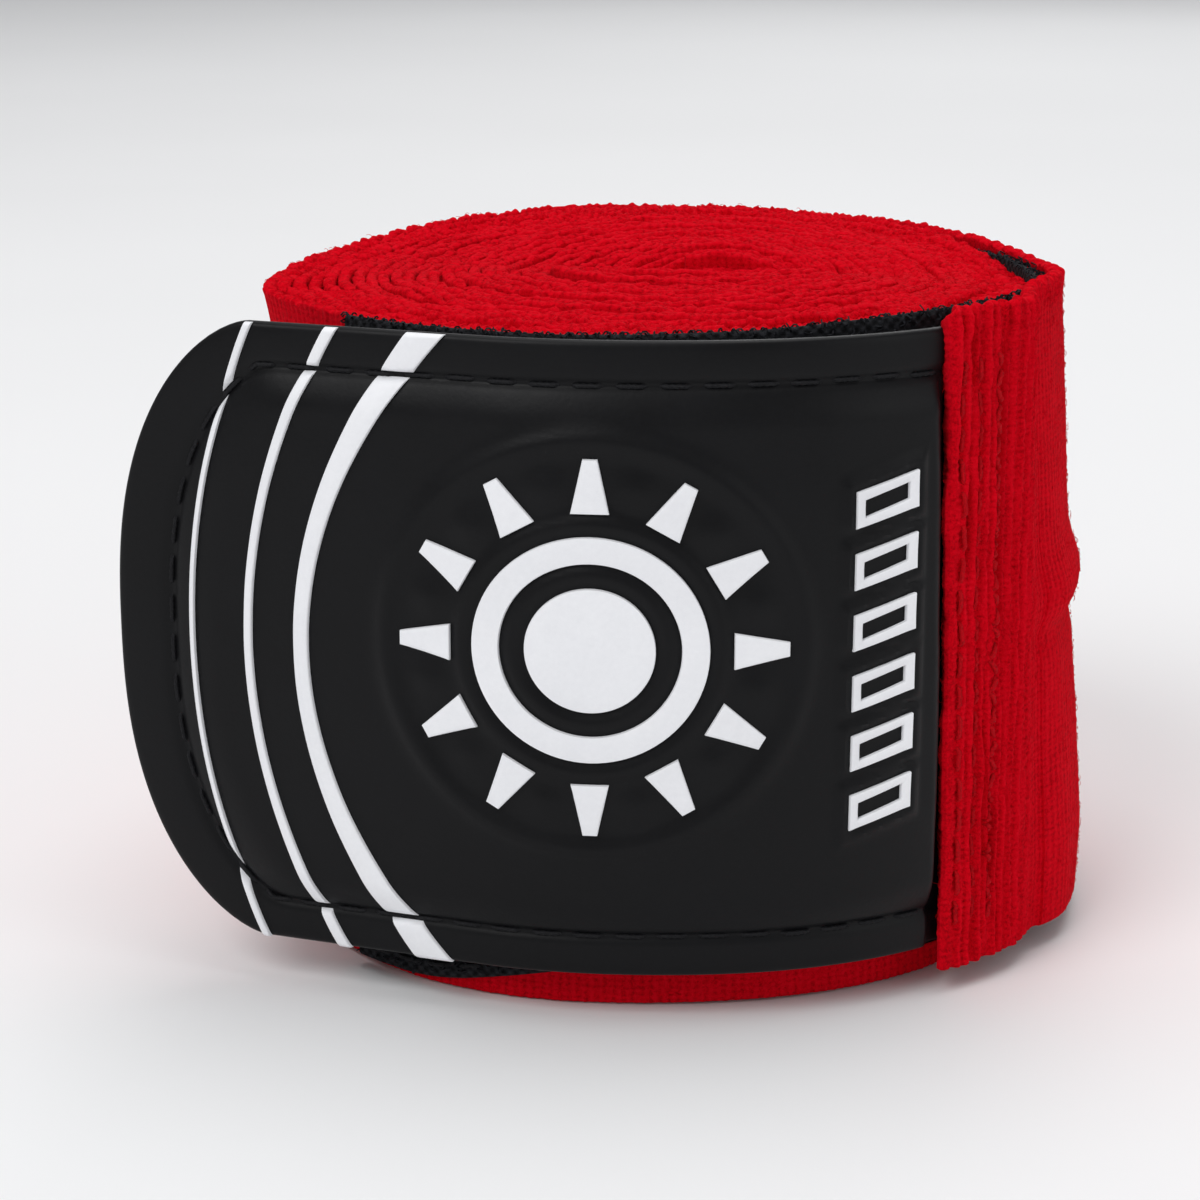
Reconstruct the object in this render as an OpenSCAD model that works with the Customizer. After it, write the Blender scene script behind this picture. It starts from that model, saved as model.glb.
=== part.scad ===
// Boxing hand wrap, wound up and closed: a roll of cotton band held by a hook-and-loop tab.
// +Z is up, along the roll's axis. The tab faces -Y and its free end points to -X.
// The origin is on the roll's axis, at the bottom face that the roll stands on.
// Seen from above, the band runs clockwise as the turns grow: back, right, front, left.

/* [Band] */
// Width of the band, which is the height of the roll
band_w = 50; // [46:0.5:54]
// Thickness of one ply of the last turn
ply_t = 1.0; // [0.7:0.05:1.2]

/* [Roll] */
// Length of the wound turns, left to right
roll_x = 57.8; // [54:0.2:62]
// Depth of the wound turns, front to back
roll_y = 54.8; // [52:0.2:58]
// Shape of the roll's plan: 2 is an ellipse, more is squarer
roundness = 2.2; // [2:0.05:2.6]
// Length of the slot left at the core
core_x = 12; // [11:0.5:14]
// Width of the slot left at the core
core_y = 2.6; // [2.4:0.1:3.2]
// Space between the wound turns and the loose last turn
turn_gap = 0.3; // [0.25:0.05:0.5]
// How far the end of the band has crept up the roll
creep = 1.6; // [0:0.1:2]

/* [Thumb loop] */
// Width of the thumb loop's webbing
thumb_w = 25; // [20:1:30]
// Thickness of the thumb loop's webbing
thumb_t = 0.9; // [0.7:0.05:1]

/* [Loop tape] */
// Width of the soft loop tape sewn on the band
tape_w = 48; // [45:0.5:49]
// Thickness of the loop tape
tape_t = 1.0; // [0.8:0.05:1.2]

/* [Tab] */
// Height of the moulded tab
tab_h = 46; // [42:0.5:47]
// How far the tab's free end stands from the roll's axis
tab_reach = 39; // [37:0.2:42]
// Thickness of the tab's skin
skin_t = 0.8; // [0.6:0.05:1]
// Thickness of the hook tape on the tab's back
hook_t = 1.0; // [0.8:0.05:1.2]
// How far the padded panel stands above the tab's border
panel_rise = 1.3; // [1.0:0.05:1.8]
// Distance of the stitch line from the top and bottom edges
stitch_in = 3.5; // [3:0.1:4]

/* [Decoration] */
// Height of the raised white marks
mark_t = 0.45; // [0.3:0.05:0.7]
// Outer diameter of the round emblem
emblem_d = 27; // [24:0.2:29]
// Rays round the emblem
emblem_rays = 12; // [8:1:16]
// Bars in the column beside the hem
bar_count = 6; // [4:1:7]

/* [Hidden] */
$fn = 48;

// Angles round the roll, in degrees: 0 is right, 90 back, -90 front, -180 left.
step = 3;
turn_from = 129;
turn_rise = 24;
side_hinge = 34;
tab_hinge = -23;
hinge_room = 1;
hem_from = -36;
hem_to = -54;
tape_from = 45;
tape_to = -132;
lift_from = 90;
lift_over = 40;
tab_leave = -111;

// Levels, measured outwards from the wound turns' surface.
inner_d = tape_t + turn_gap;
tongue_d = inner_d + hook_t;
border_d = tongue_d + skin_t;
panel_d = border_d + panel_rise;
hem_d = border_d + ply_t;

roll_a = roll_x / 2;
roll_b = roll_y / 2;
core_at = [5, 3];
mid_z = band_w / 2;
tab_z = mid_z + creep;
end_depth = 10.5;
panel_in = stitch_in + 1;
tab_tail = 40;
stitch_len = 2.3;
stitch_w = 0.55;
stitch_pitch = 3.1;
sunk = 0.3;
thread_d = 0.05;

red = "firebrick";
black = [0.12, 0.12, 0.12];
cloth_black = [0.07, 0.07, 0.07];
white = "white";

// The roll's plan is a rounded oval, and every layer is parallel to it.
function unit(v) = v / norm(v);
function part(v, power) = sign(v) * pow(abs(v), power);
function oval(phi) = [roll_a * part(cos(phi), 2 / roundness),
                      roll_b * part(sin(phi), 2 / roundness)];
function outward(phi) = unit([part(cos(phi), 2 - 2 / roundness) / roll_a,
                              part(sin(phi), 2 - 2 / roundness) / roll_b]);
function around(phi, d) = oval(phi) + d * outward(phi);
function arc(from, to, d) = [for (phi = [from : -step : to]) around(phi, d)];
function backwards(list) = [for (i = [len(list) - 1 : -1 : 0]) list[i]];

// The last turn leaves the wound turns at the back, then rides up onto the loop tape.
function ease(t) = let (u = max(0, min(1, t))) u * u * (3 - 2 * u);
function lift(phi) = turn_gap * ease((turn_from - phi) / turn_rise)
    + tape_t * ease((lift_from - phi) / lift_over);
function loose(from, to, d) = let (n = ceil((from - to) / 2.5))
    [for (i = [0 : n]) let (phi = from + (to - from) * i / n) around(phi, lift(phi) + d)];

// The tab follows the roll's front, then leaves it straight along the tangent.
leave_n = outward(tab_leave);
leave_t = [leave_n[1], -leave_n[0]];
function tab_line(from, d) =
    concat(arc(from, tab_leave, d), [around(tab_leave, d) + tab_tail * leave_t]);

// Free end of the tab, inset by a margin: t runs from -1 at the bottom to 1 at the top.
function end_x(t, inset) =
    -(tab_reach - inset) + end_depth * (1 - pow(1 - pow(abs(t), 2.5), 0.625));
function face_outline(right, inset) = let (h = tab_h / 2 - inset)
    concat([[right, tab_z + h], [right, tab_z - h]],
           [for (i = [-12 : 12]) let (t = sin(i * 90 / 12)) [end_x(t, inset), tab_z + t * h]]);

module band(outer, inner, z, h) {
    translate([0, 0, z])
        linear_extrude(h)
            polygon(concat(outer, backwards(inner)));
}

module roll_layer(from, to, d0, d1, middle, h) {
    band(arc(from, to, d1), arc(from, to, d0), middle - h / 2, h);
}

module tab_layer(from, d0, d1) {
    band(tab_line(from, d1), tab_line(from, d0), 0, band_w + creep);
}

// Whatever is drawn in the X-Z plane, carried back through the front of the roll.
module from_front() {
    translate([0, -6, 0])
        rotate([90, 0, 0])
            linear_extrude(40)
                children();
}

// Whatever is drawn in the X-Z plane, laid on the tab between two levels.
module on_tab(d0, d1) {
    intersection() {
        tab_layer(hem_from, d0, d1);
        from_front() children();
    }
}

module slot_shape(length, width) {
    hull()
        for (side = [-1, 1])
            translate([side * (length - width) / 2, 0])
                circle(d = width);
}

module stitch(x, z, turn) {
    translate([x, z])
        rotate(turn)
            square([stitch_len, stitch_w], center = true);
}

module wound_band() {
    color(red)
        linear_extrude(band_w)
            difference() {
                polygon([for (phi = [0 : step : 360 - step]) oval(phi)]);
                translate(core_at)
                    slot_shape(core_x, core_y);
            }
}

module thumb_loop() {
    color(red)
        translate([core_at[0], core_at[1], mid_z - thumb_w / 2])
            linear_extrude(thumb_w)
                difference() {
                    slot_shape(core_x - 0.4, core_y - 0.4);
                    slot_shape(core_x - 0.4 - 2 * thumb_t, core_y - 0.4 - 2 * thumb_t);
                }
}

module thumb_loop_stitching() {
    rows = 7;
    row_pitch = 2.8;
    color(red)
        for (i = [0 : rows - 1])
            translate([core_at[0] - 3, core_at[1] - core_y / 2,
                       mid_z + (i - (rows - 1) / 2) * row_pitch])
                cube([stitch_w, 1.2, stitch_len * 0.7], center = true);
}

module loop_tape() {
    color(cloth_black)
        roll_layer(tape_from, tape_to, 0, tape_t, mid_z, tape_w);
}

module loop_tape_stitching() {
    color(cloth_black)
        intersection() {
            roll_layer(hem_from, tape_to + step, tape_t - sunk, tape_t + thread_d, mid_z, tape_w);
            from_front()
                for (x = [-18 : stitch_pitch : 22], side = [-1, 1])
                    stitch(x, mid_z + side * (tape_w / 2 - 2), 0);
        }
}

module last_turn_back() {
    to = side_hinge + hinge_room;
    color(red)
        band(loose(turn_from, to, ply_t), loose(turn_from, to, 0), 0, band_w);
}

module last_turn_side() {
    from = side_hinge - hinge_room;
    to = tab_hinge + hinge_room;
    color(red)
        band(loose(from, to, ply_t), loose(from, to, 0), creep / 2, band_w);
}

// The band's end: one ply from the hinge, then two plies with the tab sewn between them.
module hem_fold() {
    from = tab_hinge - hinge_room;
    joined = hem_from - 1;
    color(red) {
        band(loose(from, joined, ply_t), loose(from, joined, 0), creep, band_w);
        difference() {
            roll_layer(hem_from, hem_to, inner_d, hem_d, tab_z, band_w);
            roll_layer(hem_from - step, hem_to - step, tongue_d, border_d, tab_z, tab_h);
            roll_layer(hem_to + step, hem_to - step, inner_d, tongue_d, tab_z, tab_h);
        }
    }
}

module hem_stitching() {
    color(red)
        intersection() {
            roll_layer(hem_from, hem_to, hem_d - sunk, hem_d + thread_d, tab_z, band_w);
            from_front()
                for (x = [21.4 : 1.3 : 25.3], z = [-22 : stitch_pitch : 22])
                    stitch(x, tab_z + z, 90);
        }
}

module panel_shape(inset) {
    right = around(hem_to, border_d)[0] - 0.3 - inset;
    offset(r = 2)
        offset(delta = -2)
            polygon(face_outline(right, panel_in + inset));
}

module tab_cover() {
    color(black)
        difference() {
            union() {
                intersection() {
                    tab_layer(hem_from - step, tongue_d, border_d);
                    from_front() polygon(face_outline(40, 0));
                }
                on_tab(tongue_d, panel_d) panel_shape(0);
            }
            on_tab(tongue_d - 1, panel_d - skin_t) panel_shape(skin_t);
        }
}

module tab_foam() {
    color("dimgray")
        on_tab(tongue_d, panel_d - skin_t) panel_shape(skin_t);
}

module hook_tape() {
    color(cloth_black)
        intersection() {
            tab_layer(hem_to + step, inner_d, tongue_d);
            from_front() polygon(face_outline(40, 1));
        }
}

module edge_stitching() {
    rows_from = -29.5;
    rows_to = 18;
    end_stitches = 6;
    color(cloth_black)
        on_tab(border_d - sunk, border_d + thread_d) {
            for (x = [rows_from : stitch_pitch : rows_to], side = [-1, 1])
                stitch(x, tab_z + side * (tab_h / 2 - stitch_in), 0);
            for (i = [-end_stitches : end_stitches])
                let (t = sin(i * 78 / end_stitches), run = tab_h / 2 - stitch_in)
                    stitch(end_x(t, stitch_in + 0.8), tab_z + t * run,
                           90 + t * abs(t) * 40);
        }
}

// A stripe bows towards the free end: at, bow and width at its middle, width at its ends.
module stripe(at, bow, mid_w, end_w) {
    h = tab_h / 2;
    ts = [for (i = [-10 : 10]) i / 10];
    outer = [for (t = ts) [at + bow * t * t - (mid_w + (end_w - mid_w) * t * t) / 2, tab_z + t * h]];
    inner = [for (t = ts) [at + bow * t * t + (mid_w + (end_w - mid_w) * t * t) / 2, tab_z + t * h]];
    color(white)
        union() {
            on_tab(panel_d, panel_d + mark_t)
                intersection() {
                    polygon(concat(outer, backwards(inner)));
                    panel_shape(0);
                }
            on_tab(border_d, border_d + mark_t)
                difference() {
                    polygon(concat(outer, backwards(inner)));
                    panel_shape(-0.4);
                    for (side = [-1, 1])
                        translate([at + bow, tab_z + side * (h - stitch_in)])
                            square([12, stitch_w + 0.4], center = true);
                }
        }
}

module stripe_thin() {
    stripe(-32.8, 5.4, 0.45, 0.7);
}

module stripe_medium() {
    stripe(-28.4, 7.2, 0.8, 1.3);
}

module stripe_wide() {
    stripe(-24.2, 10, 1.5, 2.8);
}

// A plain sunburst: a disc, a ring and a ring of tapered rays.
module emblem() {
    r = emblem_d / 2;
    color(white)
        on_tab(panel_d, panel_d + mark_t)
            translate([-4.2, tab_z + 1.6]) {
                circle(r = r * 0.33);
                difference() {
                    circle(r = r * 0.6);
                    circle(r = r * 0.46);
                }
                for (i = [0 : emblem_rays - 1])
                    rotate(i * 360 / emblem_rays)
                        translate([r * 0.72, 0])
                            polygon([[0, -1.3], [r * 0.28, -0.5], [r * 0.28, 0.5], [0, 1.3]]);
            }
}

// A column of slanted outlined bars.
module bar_marks() {
    pitch = 4.4;
    slant = 1.2;
    color(white)
        on_tab(panel_d, panel_d + mark_t)
            for (i = [0 : bar_count - 1])
                translate([13.5, tab_z + 1 + (i - bar_count / 2) * pitch])
                    difference() {
                        polygon([[0, 0], [4.2, slant], [4.2, slant + 2.6], [0, 2.6]]);
                        polygon([[0.6, 0.8], [3.6, slant + 0.6], [3.6, slant + 1.8], [0.6, 2]]);
                    }
}

wound_band();
thumb_loop();
thumb_loop_stitching();
loop_tape();
loop_tape_stitching();
last_turn_back();
last_turn_side();
hem_fold();
hem_stitching();
tab_cover();
tab_foam();
hook_tape();
edge_stitching();
stripe_thin();
stripe_medium();
stripe_wide();
emblem();
bar_marks();
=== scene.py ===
"""A rolled boxing hand wrap: a ribbed cotton band, a soft loop tape and a moulded hook tab.

Lengths in this script are millimetres, and new_piece() turns them into metres.
Seen from above the band runs clockwise, so the outside is on its left as it goes.
"""

import math

import bpy
import mathutils
import numpy as np
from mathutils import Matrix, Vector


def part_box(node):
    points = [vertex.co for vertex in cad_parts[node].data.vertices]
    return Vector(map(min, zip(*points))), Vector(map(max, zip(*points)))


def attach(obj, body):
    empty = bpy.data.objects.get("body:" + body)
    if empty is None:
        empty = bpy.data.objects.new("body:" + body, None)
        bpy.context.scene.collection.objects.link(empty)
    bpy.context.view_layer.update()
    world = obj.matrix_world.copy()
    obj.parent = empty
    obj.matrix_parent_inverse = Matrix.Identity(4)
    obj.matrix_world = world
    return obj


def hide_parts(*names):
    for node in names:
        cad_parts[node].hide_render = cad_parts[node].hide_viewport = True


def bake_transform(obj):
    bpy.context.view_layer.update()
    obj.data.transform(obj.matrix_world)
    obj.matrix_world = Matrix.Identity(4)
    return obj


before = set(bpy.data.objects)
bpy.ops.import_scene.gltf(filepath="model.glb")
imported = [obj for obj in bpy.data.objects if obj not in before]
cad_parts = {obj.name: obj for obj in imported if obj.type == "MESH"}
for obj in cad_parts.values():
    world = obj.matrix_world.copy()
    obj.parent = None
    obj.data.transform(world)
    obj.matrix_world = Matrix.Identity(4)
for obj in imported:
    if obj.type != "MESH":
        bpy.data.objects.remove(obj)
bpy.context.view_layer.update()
MM = 0.001


def box_mm(node):
    """Lowest and highest corner of a CAD node, in millimetres."""
    low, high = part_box(node)
    return np.array(low) / MM, np.array(high) / MM


# ---- sizes

ROLL_A, ROLL_B, BAND_W = box_mm("wound_band")[1]
TAB_LOW, TAB_HIGH = box_mm("tab_cover")
HOOK_LOW, HOOK_HIGH = box_mm("hook_tape")
THUMB_LOW, THUMB_HIGH = box_mm("thumb_loop")
THUMB_MIDDLE, THUMB_HALF = (THUMB_LOW + THUMB_HIGH) / 2, (THUMB_HIGH - THUMB_LOW) / 2

MID_Z = BAND_W / 2
ROUNDNESS, BACK_ROUNDNESS = 2.2, 2.0
BACK_DEEPER = 1.05
CREEP = 1.6
TAB_Z = MID_Z + CREEP

# Angles round the roll in degrees, as in the CAD: 0 right, 90 back, -90 front, -180 left.
TURN_FROM, SIDE_HINGE, TAB_HINGE = 118.0, 34.0, -23.0
HEM_FROM, HEM_TO = -37.0, -52.0
FOLD_PHI = HEM_TO + 0.6
TAPE_FROM, TAPE_TO = 45.0, -132.0
TAB_LEAVE = -111.0

# Levels outwards from the wound turns' surface (_D), thicknesses (_T) and the hem's fold.
TAPE_T = 1.0
PLY_T = 0.80
TONGUE_D, BORDER_D = 2.3, 3.1
HEM_D = 4.25
LOOSE_D = 2.0
FOLD_R = 0.36
SKIN_T = BORDER_D - TONGUE_D
PANEL_RISE = 0.9

# The wound turns.
TURNS = 28
PITCH = 0.86
CORE_AT = THUMB_MIDDLE[:2]
CORE_A, CORE_B = THUMB_HALF[:2] + np.array([0.5, 0.3])
STEP_SHARE = 0.27

UP = np.array([0.0, 0.0, 1.0])

# The cloth's edge is rounded over this height.
EDGE_ROUND = 0.34

# The knit: ribs run up the band, and loops repeat along each rib.
RIB = 0.66
LOOP = 0.50


# ---- small maths

def ease(t):
    u = np.clip(t, 0, 1)
    return u * u * (3 - 2 * u)


def signed_power(v, p):
    return np.sign(v) * np.abs(v) ** p


def lattice(a, b, seed):
    """A repeatable value from -1 to 1 for each pair of whole numbers."""
    n = (a * 374761393 + b * 668265263 + seed * 974634777) & 0x7FFFFFFF
    n = ((n ^ (n >> 13)) * 1274126177) & 0x7FFFFFFF
    n = ((n ^ (n >> 16)) * 668265263) & 0x7FFFFFFF
    return (n ^ (n >> 15)) / 0x3FFFFFFF - 1.0


def noise(u, v, seed):
    """Smooth noise from -1 to 1 over a plane, with one bump a unit."""
    u, v = np.broadcast_arrays(np.asarray(u, float), np.asarray(v, float))
    iu, iv = np.floor(u).astype(np.int64), np.floor(v).astype(np.int64)
    fu, fv = ease(u - iu), ease(v - iv)
    low = lattice(iu, iv, seed) * (1 - fu) + lattice(iu + 1, iv, seed) * fu
    high = lattice(iu, iv + 1, seed) * (1 - fu) + lattice(iu + 1, iv + 1, seed) * fu
    return low * (1 - fv) + high * fv


def bell(x, width):
    return np.exp(-((x / width) ** 2))


def dome(t):
    """The height of a quarter circle at a share t of its width."""
    return np.sqrt(1 - (1 - np.clip(t, 0, 1)) ** 2)


def ripple(x, pitch=1.0):
    return np.cos(2 * np.pi * x / pitch)


def apart(phi, centre):
    """Degrees from a centre, from -180 to 180."""
    return (phi - centre + 180) % 360 - 180


def unit(v):
    return v / np.linalg.norm(v, axis=-1, keepdims=True)


def clockwise(v):
    """Plan vectors after a quarter turn clockwise."""
    return np.stack([v[..., 1], -v[..., 0]], -1)


def flat(v):
    """Plan vectors as level vectors in space."""
    return np.concatenate([v, np.zeros((len(v), 1))], -1)


def lengths(points):
    """The length along a line at each of its points."""
    return np.r_[0, np.cumsum(np.linalg.norm(np.diff(points, axis=0), axis=1))]


def cells(rows, columns):
    """The row and column of each cell of a grid."""
    i, j = np.meshgrid(np.arange(rows), np.arange(columns), indexing="ij")
    return i.ravel(), j.ravel()


# ---- plan lines

def side_of(phi):
    """Cosine, sine, roundness and depth at an angle. The roll is rounder and deeper at the back."""
    c, s = np.cos(np.radians(phi)), np.sin(np.radians(phi))
    return c, s, np.where(s > 0, BACK_ROUNDNESS, ROUNDNESS), np.where(s > 0, BACK_DEEPER, 1.0)


def oval(phi, a=ROLL_A, b=ROLL_B):
    """The outline of the roll."""
    c, s, roundness, deeper = side_of(phi)
    power = 2 / roundness
    return np.stack([a * signed_power(c, power), b * deeper * signed_power(s, power)], -1)


def outward(phi):
    """The unit normal of that outline."""
    c, s, roundness, deeper = side_of(phi)
    power = 2 - 2 / roundness
    return unit(np.stack([signed_power(c, power) / ROLL_A, signed_power(s, power) / (ROLL_B * deeper)], -1))


def around(phi, d):
    phi = np.asarray(phi, float)
    return oval(phi) + np.asarray(d)[..., None] * outward(phi)


class Line:
    """A line in plan that is read by its length along the band. Its normal points outwards."""

    def __init__(self, points, zero_at=0):
        keep = np.r_[True, np.linalg.norm(np.diff(points, axis=0), axis=1) > 1e-6]
        self.points = points[keep]
        length = lengths(self.points)
        self.s = length - length[zero_at]
        self.normals = -clockwise(unit(np.gradient(self.points, axis=0)))

    def at(self, s):
        """Points and unit normals at lengths s."""
        xy, n = (np.stack([np.interp(s, self.s, column) for column in table.T], -1)
                 for table in (self.points, self.normals))
        return xy, unit(n)


def wound_line():
    """The middle of the band from the core out to the start of the last turn, and the turns left.

    Each turn steps in by one pitch, on the left side near the outside, and evenly near the core."""
    k = np.arange(TURNS, -1e-9, -0.0012)
    turn, share = np.floor(k), k - np.floor(k)
    blend = np.clip(k / 12, 0, 1)
    depth = turn - 1 + ease(share / STEP_SHARE) * (1 - blend) + share * blend
    inner = np.clip(depth, 0, None) / (TURNS - 1)
    a = ROLL_A - (ROLL_A - CORE_A) * inner
    b = ROLL_B - (ROLL_B - CORE_B) * inner
    phi = TURN_FROM + 360 * k
    xy = oval(phi, a, b) + CORE_AT * inner[:, None]
    proud = np.clip(-depth, 0, None) * PITCH - PLY_T / 2
    wander = 0.10 * noise(phi / 75, k * 0.9, 3) * np.clip(k - 1.2, 0, 1)
    level = proud + wander + corner(phi) * np.clip(1 - k / 6, 0, 1)
    return xy + level[:, None] * outward(phi), k


def corner(phi):
    """The roll comes to a soft point on the left, where it has been squeezed flat."""
    away = apart(phi, -165)
    return 1.15 * bell(away, 11) - 0.35 * bell(away - 26, 13) - 0.30 * bell(away + 24, 12)


def last_turn_line():
    """The loose last turn: round the back and the right side, up onto the tab, and folded under."""
    phi = np.arange(TURN_FROM, HEM_FROM + 9, -0.1)
    level = PITCH + 0.19 * ease((TURN_FROM - phi) / 20) + TAPE_T * ease((90 - phi) / 40)
    round_side = around(phi, level - PLY_T / 2)
    phi_up = np.arange(HEM_FROM + 8.9, FOLD_PHI, -0.05)
    rise = ease((HEM_FROM + 9 - phi_up) / 11)
    up = around(phi_up, level[-1] - PLY_T / 2 + (HEM_D - level[-1]) * rise)
    centre_d = HEM_D - PLY_T / 2 - FOLD_R
    n = outward(FOLD_PHI)
    turn = np.radians(np.arange(3, 180, 3))[:, None]
    fold = around(FOLD_PHI, centre_d) + FOLD_R * (np.cos(turn) * n + np.sin(turn) * clockwise(n))
    phi_in = np.arange(FOLD_PHI, HEM_TO + 10, 0.05)
    under = around(phi_in, np.full_like(phi_in, centre_d - FOLD_R))
    return np.concatenate([round_side, up, fold, under])


HEM_WAY = -clockwise(outward(HEM_TO))
WOUND, WOUND_K = wound_line()
BAND = Line(np.concatenate([WOUND[:-1], last_turn_line()]), zero_at=len(WOUND) - 1)


def band_s(phi):
    """Length along the last turn at an angle round the roll."""
    away = np.linalg.norm(BAND.points - around(phi, LOOSE_D), axis=1)
    return BAND.s[np.argmin(np.where(BAND.s >= 0, away, math.inf))]


def turn_s(k):
    """Length at k turns in from the start of the last turn."""
    return BAND.s[np.searchsorted(-WOUND_K, -k)]


def raised(line, s, z, level, slide=0.0):
    """Points at lengths s and heights z that stand a level out from a line in plan."""
    xy, n = line.at(s)
    level = np.broadcast_to(level, np.shape(s))
    return np.concatenate([xy + slide + n * level[..., None], z[..., None]], -1)


# ---- meshes

def in_scene(name, data):
    thing = bpy.data.objects.new(name, data)
    bpy.context.scene.collection.objects.link(thing)
    return thing


def new_piece(name, parts, material, smooth=35):
    """A mesh object from (points in mm, faces) parts, with its normals outwards."""
    points, faces, weave, start = [], [], [], 0
    for part in parts:
        xyz = np.asarray(part[0], float).reshape(-1, 3)
        quads = [np.asarray(f) for f in part[1]]
        if volume(xyz, quads) < 0:
            quads = [f[:, ::-1] for f in quads]
        faces += [f + start for f in quads]
        weave.append(part[2] if len(part) > 2 else xyz)
        points.append(xyz)
        start += len(xyz)
    points = np.concatenate(points)
    mesh = bpy.data.meshes.new(name)
    loops = np.concatenate([f.ravel() for f in faces])
    sizes = np.concatenate([np.full(len(f), f.shape[1]) for f in faces])
    mesh.vertices.add(len(points))
    mesh.vertices.foreach_set("co", (points * MM).ravel())
    mesh.loops.add(len(loops))
    mesh.loops.foreach_set("vertex_index", loops)
    mesh.polygons.add(len(sizes))
    mesh.polygons.foreach_set("loop_start", np.r_[0, np.cumsum(sizes)[:-1]])
    mesh.update(calc_edges=True)
    mesh.validate()
    attribute = mesh.attributes.new("weave", "FLOAT_VECTOR", "POINT")
    attribute.data.foreach_set("vector", np.concatenate(weave).astype(np.float32).ravel())
    mesh.shade_smooth()
    mesh.set_sharp_from_angle(angle=math.radians(smooth))
    mesh.materials.append(material)
    return in_scene(name, mesh)


def make(name, parts, material, body, node, smooth=35):
    """A new piece with its body and the CAD node it stands for."""
    piece = new_piece(name, parts, material, smooth)
    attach(piece, body)
    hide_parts(node)
    return piece


def volume(points, faces):
    """Six times the signed volume inside closed faces."""
    total = 0.0
    for f in faces:
        for i in range(1, f.shape[1] - 1):
            a, b, c = points[f[:, 0]], points[f[:, i]], points[f[:, i + 1]]
            total += (a * np.cross(b, c)).sum()
    return total


def grid_quads(rows, columns, closed=False):
    """Quads over rows of points, where each row is a ring. When closed, the last row meets the first."""
    i, j = cells(rows if closed else rows - 1, columns)
    below, beside = (i + 1) % rows * columns, (j + 1) % columns
    return np.stack([i * columns + j, i * columns + beside, below + beside, below + j], -1)


def ladder(first, columns):
    """Quads that close a flat ring of an even number of points, whose two sides face each other."""
    j = np.arange(columns // 2 - 1)
    return np.stack([first + j, first + j + 1, first + columns - 2 - j, first + columns - 1 - j], -1)


def tube(rings, weave=None):
    """A closed solid from rings of points, shape (rings, points, 3)."""
    n, m = rings.shape[:2]
    faces = [grid_quads(n, m), ladder(0, m)[:, ::-1], ladder((n - 1) * m, m)]
    part = (rings.reshape(-1, 3), faces)
    return part if weave is None else part + (weave.reshape(-1, 3),)


def edge_steps(spacing):
    """Shares of the height across the band, close together at its edges, and how full the ply is."""
    near_edge = np.array([0.02, 0.10, 0.22, 0.40, 0.75])
    inner = np.arange(near_edge[-1] + spacing, BAND_W - near_edge[-1] - spacing / 2, spacing)
    z = np.concatenate([near_edge, inner, BAND_W - near_edge[::-1]])
    return z / BAND_W, dome(np.minimum(z, BAND_W - z) / EDGE_ROUND)


def ply(line, s, spacing, shape, low, high, thick=PLY_T, drift=None):
    """One thickness of cloth along a line.

    shape(s, z) gives how far the ply stands out and how much each face swells.
    low(s) and high(s) are the heights of its two edges.
    drift(s, z) slides it along the hem's direction."""
    share, full = edge_steps(spacing)
    bottom = low(s)[:, None]
    z = bottom + (high(s)[:, None] - bottom) * share
    out, swell = shape(s[:, None], z)
    half = full * (thick / 2 + swell)
    level = np.concatenate([out + half, (out - half)[:, ::-1]], 1)
    z = np.concatenate([z, z[:, ::-1]], 1)
    s = np.broadcast_to(s[:, None], z.shape)
    slide = HEM_WAY * drift(s, z)[..., None] if drift else 0.0
    return tube(raised(line, s, z, level, slide), np.stack([s, z, 0 * z], -1))


def ring(outer, inner):
    """A closed loop of sections: outer and inner are (sections, points, 3), facing each other."""
    sections = np.concatenate([outer, inner[:, ::-1]], 1)
    return sections.reshape(-1, 3), [grid_quads(*sections.shape[:2], closed=True)]


def strands(roots, up, lean, length, height, radius, curl):
    """Fine three-sided threads. Each leaves its root along up, leans over and bends back down.

    A curl of 0.95 makes nearly a whole loop, and 0.72 a hook."""
    t = np.linspace(0, 1, 4)
    rise = np.sin(np.pi * (0.04 + (curl - 0.04) * t))
    centre = roots[:, None] + up[:, None] * (height[:, None] * rise)[..., None]
    centre = centre + lean[:, None] * (length[:, None] * t)[..., None]
    side = unit(np.cross(up, lean))
    third = np.cross(unit(np.gradient(centre, axis=1)), side[:, None])
    taper = radius * np.array([1.0, 0.95, 0.8, 0.9])
    angle = np.radians([0, 120, 240])
    across = side[:, None, None] * (taper[:, None] * np.cos(angle))[None, ..., None]
    over = third[:, :, None] * (taper[:, None] * np.sin(angle))[None, ..., None]
    rings = centre[:, :, None] + across + over
    offset = (np.arange(len(roots)) * 12)[:, None, None]
    caps = np.array([[0, 2, 1], [9, 10, 11]])
    sides = (grid_quads(4, 3)[None] + offset).reshape(-1, 4)
    return rings.reshape(-1, 3), [sides, (caps[None] + offset).reshape(-1, 3)]


def thread(centre, up, radius):
    """A two-strand sewing thread along centre points, as a closed tube."""
    sides, twists = 8, 2.5
    tangent = unit(np.gradient(centre, axis=0))
    side = unit(np.cross(up, tangent))[:, None]
    third = np.cross(tangent, side[:, 0])[:, None]
    run = np.linspace(0, 1, len(centre))[:, None]
    angle = (np.arange(sides) * 2 * np.pi / sides)[None]
    r = (radius * (1 + 0.18 * np.cos(2 * (angle + twists * 2 * np.pi * run))))[..., None]
    angle = angle[..., None]
    return tube(centre[:, None] + r * (np.cos(angle) * side + np.sin(angle) * third))


# ---- materials

# Where nearly all of a noise's values lie.
COMMON = (0.3, 0.7)


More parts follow.
